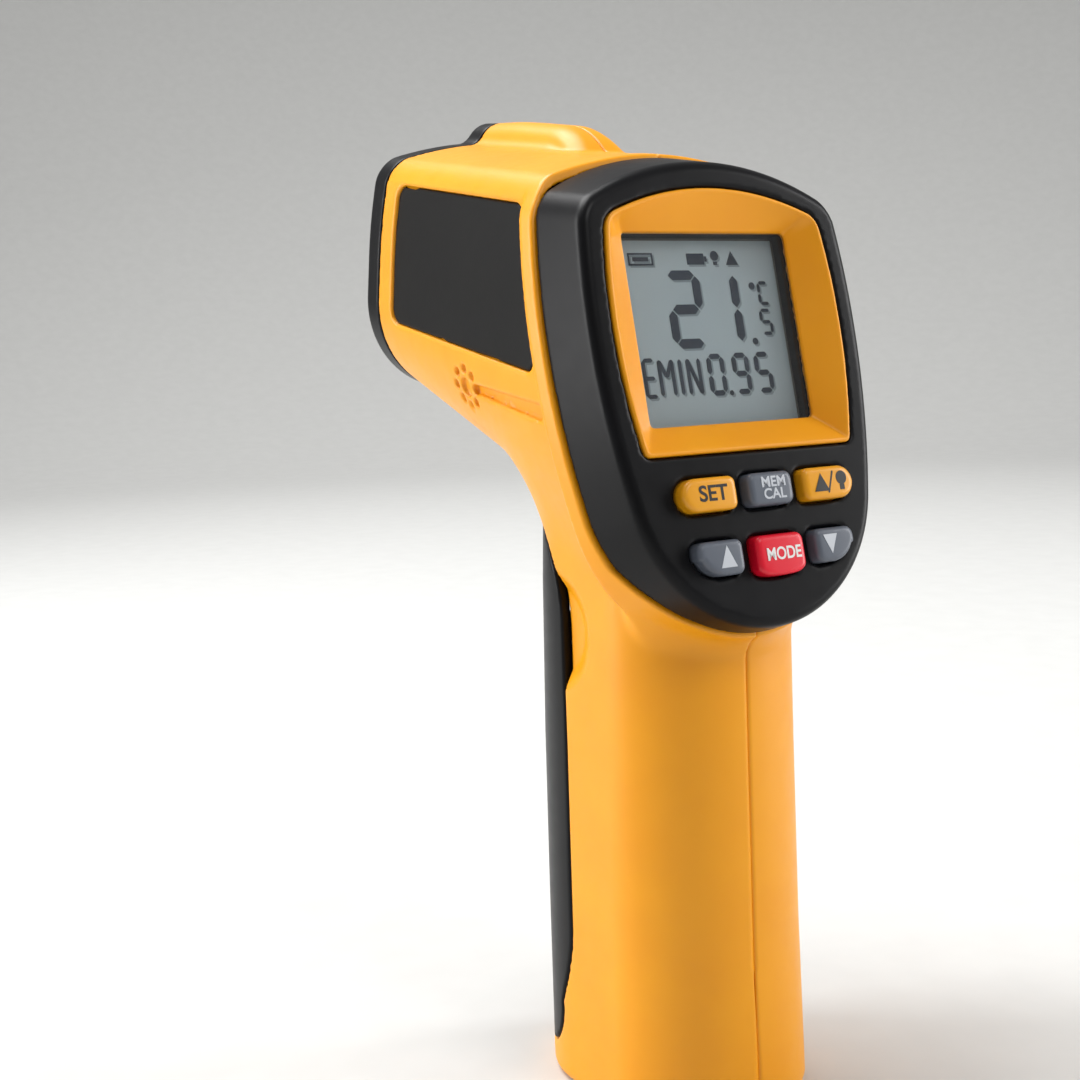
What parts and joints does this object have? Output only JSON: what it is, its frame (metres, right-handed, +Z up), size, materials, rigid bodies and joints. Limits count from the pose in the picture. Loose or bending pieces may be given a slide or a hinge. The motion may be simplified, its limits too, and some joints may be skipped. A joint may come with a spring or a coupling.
{
  "type": "infrared thermometer",
  "caption": "Pistol-grip infrared thermometer with a tilted display face, rubber keys, sprung trigger, nose optics and a hinged battery door in the grip.",
  "frame": {"origin": "centre of the flat base of the handle", "axes": "+Z up the handle, -X towards the nose that is aimed at the target, +X towards the display and the user, +Y the right side of the instrument as held"},
  "size_m": [0.0931, 0.0588, 0.1753],
  "materials": {
    "orange_shell": "fine matt moulded ABS, orange",
    "black_housing": "satin black ABS",
    "black_panel": "fine-grained black plastic",
    "nickel_can": "nickel-plated steel",
    "brass_tube": "turned brass",
    "clear_window": "clear acrylic",
    "milky_lens": "milky polyethylene Fresnel lens",
    "lcd_glass": "reflective grey liquid-crystal cell",
    "circuit_board": "green solder-masked laminate",
    "grey_rubber": "silicone rubber",
    "yellow_key": "yellow-orange silicone key",
    "grey_key": "grey silicone key",
    "red_key": "red silicone key",
    "steel": "zinc-plated steel",
    "battery_wrap": "printed foil wrap, plain",
    "wire_skin": "PVC wire insulation"
  },
  "bodies": {
    "housing": {"battery": "battery_wrap", "battery_snap": "black_panel", "battery_terminals": "nickel_can", "battery_tray": "black_panel", "battery_wires": "wire_skin", "buzzer": "black_panel", "display_bezel": "black_housing", "display_board": "circuit_board", "display_frame": "orange_shell", "door_hinge_pin": "steel", "elastomer_connectors": "grey_rubber", "ir_lens": "milky_lens", "keypad_mat": "grey_rubber", "laser_module": "brass_tube", "laser_window": "clear_window", "lcd_holder": "black_panel", "lcd_panel": "lcd_glass", "lcd_window": "clear_window", "left_shell": "orange_shell", "left_side_panel": "black_panel", "lens_barrel": "black_panel", "main_board": "circuit_board", "nose_cap": "black_housing", "right_shell": "orange_shell", "right_side_panel": "black_panel", "sensor_board": "circuit_board", "shell_screws": "steel", "thermopile_sensor": "nickel_can", "trigger_pin": "steel", "trigger_spring": "steel", "trigger_switch": "black_panel"},
    "set_button_body": {"set_button": "yellow_key"},
    "memory_button_body": {"memory_button": "grey_key"},
    "light_button_body": {"light_button": "yellow_key"},
    "up_button_body": {"up_button": "grey_key"},
    "mode_button_body": {"mode_button": "red_key"},
    "down_button_body": {"down_button": "grey_key"},
    "trigger_body": {"trigger": "black_housing"},
    "battery_door_body": {"battery_door": "black_housing"}
  },
  "joints": [
    {"name": "set_button_press", "type": "slide", "parent": "housing", "child": "set_button_body", "axis": [-0.9781, 0, -0.2079], "range_m": [0, 0.001], "stiffness_N_per_m": 900, "springref_m": -0.0004},
    {"name": "memory_button_press", "type": "slide", "parent": "housing", "child": "memory_button_body", "axis": [-0.9781, 0, -0.2079], "range_m": [0, 0.001], "stiffness_N_per_m": 900, "springref_m": -0.0004},
    {"name": "light_button_press", "type": "slide", "parent": "housing", "child": "light_button_body", "axis": [-0.9781, 0, -0.2079], "range_m": [0, 0.001], "stiffness_N_per_m": 900, "springref_m": -0.0004},
    {"name": "up_button_press", "type": "slide", "parent": "housing", "child": "up_button_body", "axis": [-0.9781, 0, -0.2079], "range_m": [0, 0.001], "stiffness_N_per_m": 900, "springref_m": -0.0004},
    {"name": "mode_button_press", "type": "slide", "parent": "housing", "child": "mode_button_body", "axis": [-0.9781, 0, -0.2079], "range_m": [0, 0.001], "stiffness_N_per_m": 900, "springref_m": -0.0004},
    {"name": "down_button_press", "type": "slide", "parent": "housing", "child": "down_button_body", "axis": [-0.9781, 0, -0.2079], "range_m": [0, 0.001], "stiffness_N_per_m": 900, "springref_m": -0.0004},
    {"name": "trigger_pull", "type": "hinge", "parent": "housing", "child": "trigger_body", "pos_m": [-0.0095, 0, 0.1035], "axis": [0, -1, 0], "range_deg": [0, 7], "stiffness_Nm_per_rad": 0.4, "springref_deg": -4.58, "deforming": ["trigger_spring"]},
    {"name": "battery_door_swing", "type": "hinge", "parent": "housing", "child": "battery_door_body", "pos_m": [-0.0155, 0, 0.013], "axis": [0, -1, 0], "range_deg": [0, 60]}
  ]
}
